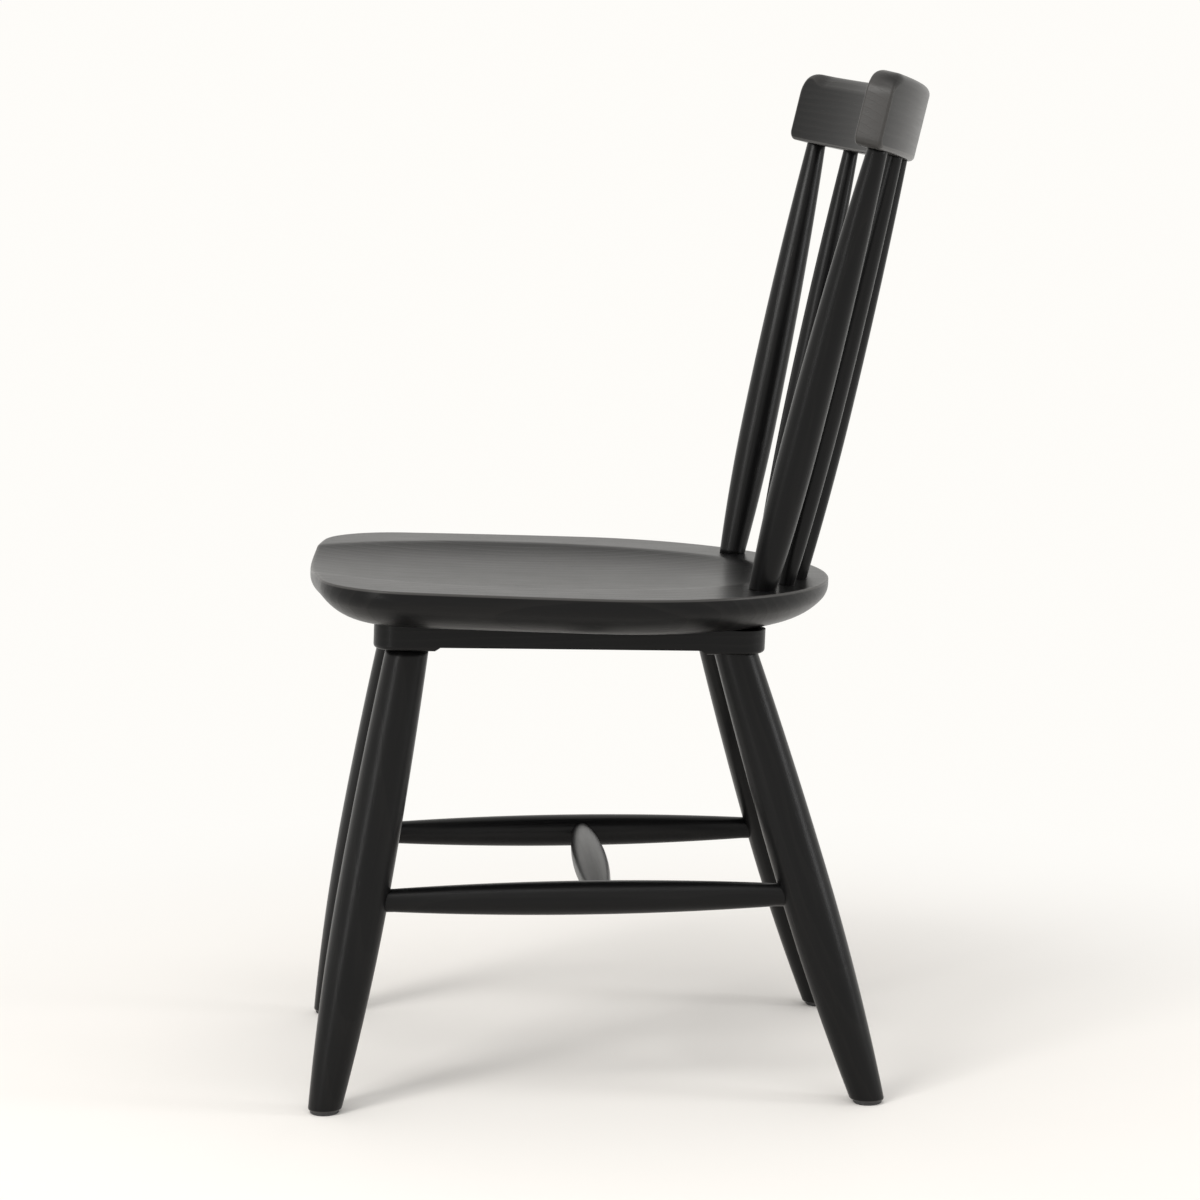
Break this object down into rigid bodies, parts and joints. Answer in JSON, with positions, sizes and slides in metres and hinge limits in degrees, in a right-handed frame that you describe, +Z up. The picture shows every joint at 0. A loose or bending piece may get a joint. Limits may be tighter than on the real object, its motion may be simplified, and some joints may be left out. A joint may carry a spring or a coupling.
{
  "type": "windsor chair",
  "caption": "Windsor side chair in black painted wood: a thick dished seat on splayed turned legs with stretchers, and a leaning back of turned posts and spindles under a bent crest rail.",
  "frame": {"origin": "on the floor under the middle of the whole chair's width and depth", "axes": "+Z up, the chair faces -Y, and +X is the sitter's left, so the chair is symmetric about X = 0"},
  "size_m": [0.4544, 0.549, 0.8853],
  "materials": {
    "painted_wood": "satin black paint over close-grained hardwood",
    "glide_plastic": "moulded, matt",
    "steel": "zinc plated"
  },
  "bodies": {
    "root": {"seat": "painted_wood", "left_seat_rail": "painted_wood", "right_seat_rail": "painted_wood", "front_left_leg": "painted_wood", "front_right_leg": "painted_wood", "rear_left_leg": "painted_wood", "rear_right_leg": "painted_wood", "left_side_stretcher": "painted_wood", "right_side_stretcher": "painted_wood", "cross_stretcher": "painted_wood", "crest_rail": "painted_wood", "left_back_post": "painted_wood", "right_back_post": "painted_wood", "centre_spindle": "painted_wood", "inner_left_spindle": "painted_wood", "inner_right_spindle": "painted_wood", "outer_left_spindle": "painted_wood", "outer_right_spindle": "painted_wood", "front_left_glide": "glide_plastic", "front_right_glide": "glide_plastic", "rear_left_glide": "glide_plastic", "rear_right_glide": "glide_plastic", "glide_nails": "steel", "seat_rail_screws": "steel"}
  },
  "joints": []
}
